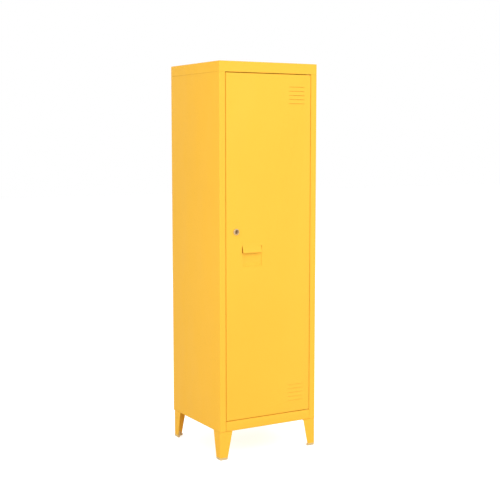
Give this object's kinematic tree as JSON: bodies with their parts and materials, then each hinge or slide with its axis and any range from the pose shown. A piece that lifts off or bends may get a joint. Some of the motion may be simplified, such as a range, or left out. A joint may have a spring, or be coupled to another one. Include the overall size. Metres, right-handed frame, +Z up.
{
  "type": "tool chest side locker",
  "caption": "Tall narrow sheet-steel locker on tapered angle legs, with an inset louvred door on pivot pins, a recessed pull, a cam lock and adjustable shelves.",
  "frame": {"origin": "on the floor, at the middle of the overall width and depth, the pull included", "axes": "+X to the right as seen from the front, +Y to the back, +Z up"},
  "size_m": [0.38, 0.361, 1.333],
  "materials": {
    "yellow_coat": "satin powder coat, fine orange peel",
    "zinc_plate": "bright zinc plate",
    "lock_steel": "polished nickel plate",
    "plug_steel": "darker nickel plate, worn round the key slot",
    "black_rubber": "matte",
    "ivory_nylon": "satin",
    "beige_plastic": "matte"
  },
  "bodies": {
    "carcass": {"side_panel_left": "yellow_coat", "side_panel_right": "yellow_coat", "back_panel": "yellow_coat", "top_cap": "yellow_coat", "base_tray": "yellow_coat", "leg_front_left": "yellow_coat", "leg_front_right": "yellow_coat", "leg_rear_left": "yellow_coat", "leg_rear_right": "yellow_coat", "shelf_strip_front_left": "yellow_coat", "shelf_strip_front_right": "yellow_coat", "shelf_strip_rear_left": "yellow_coat", "shelf_strip_rear_right": "yellow_coat", "shelf_1": "yellow_coat", "shelf_2": "yellow_coat", "shelf_3": "yellow_coat", "hinge_pin_upper": "yellow_coat", "hinge_pin_lower": "yellow_coat", "leg_bolt_front_left_1": "zinc_plate", "leg_bolt_front_left_2": "zinc_plate", "leg_bolt_front_right_1": "zinc_plate", "leg_bolt_front_right_2": "zinc_plate", "leg_bolt_rear_left_1": "zinc_plate", "leg_bolt_rear_left_2": "zinc_plate", "leg_bolt_rear_right_1": "zinc_plate", "leg_bolt_rear_right_2": "zinc_plate", "shelf_clip_1_front_left": "zinc_plate", "shelf_clip_1_front_right": "zinc_plate", "shelf_clip_1_rear_left": "zinc_plate", "shelf_clip_1_rear_right": "zinc_plate", "shelf_clip_2_front_left": "zinc_plate", "shelf_clip_2_front_right": "zinc_plate", "shelf_clip_2_rear_left": "zinc_plate", "shelf_clip_2_rear_right": "zinc_plate", "shelf_clip_3_front_left": "zinc_plate", "shelf_clip_3_front_right": "zinc_plate", "shelf_clip_3_rear_left": "zinc_plate", "shelf_clip_3_rear_right": "zinc_plate", "door_buffer_upper": "black_rubber", "door_buffer_lower": "black_rubber", "foot_glide_front_left": "beige_plastic", "foot_glide_front_right": "beige_plastic", "foot_glide_rear_left": "beige_plastic", "foot_glide_rear_right": "beige_plastic"},
    "door": {"door_pan": "yellow_coat", "door_stiffener": "yellow_coat", "door_bush_upper": "ivory_nylon", "door_bush_lower": "ivory_nylon", "pull_cup": "yellow_coat", "lock_housing": "lock_steel", "lock_nut": "zinc_plate"},
    "lock_rotor": {"lock_plug": "plug_steel", "lock_cam": "zinc_plate", "cam_screw": "zinc_plate"}
  },
  "joints": [
    {"name": "door_hinge", "type": "hinge", "parent": "carcass", "child": "door", "pos_m": [0.1555, -0.1695, 0.71425], "axis": [0, 0, 1], "range_deg": [0, 110]},
    {"name": "lock_turn", "type": "hinge", "parent": "door", "child": "lock_rotor", "pos_m": [-0.1275, -0.17, 0.772], "axis": [0, -1, 0], "range_deg": [0, 90]}
  ]
}
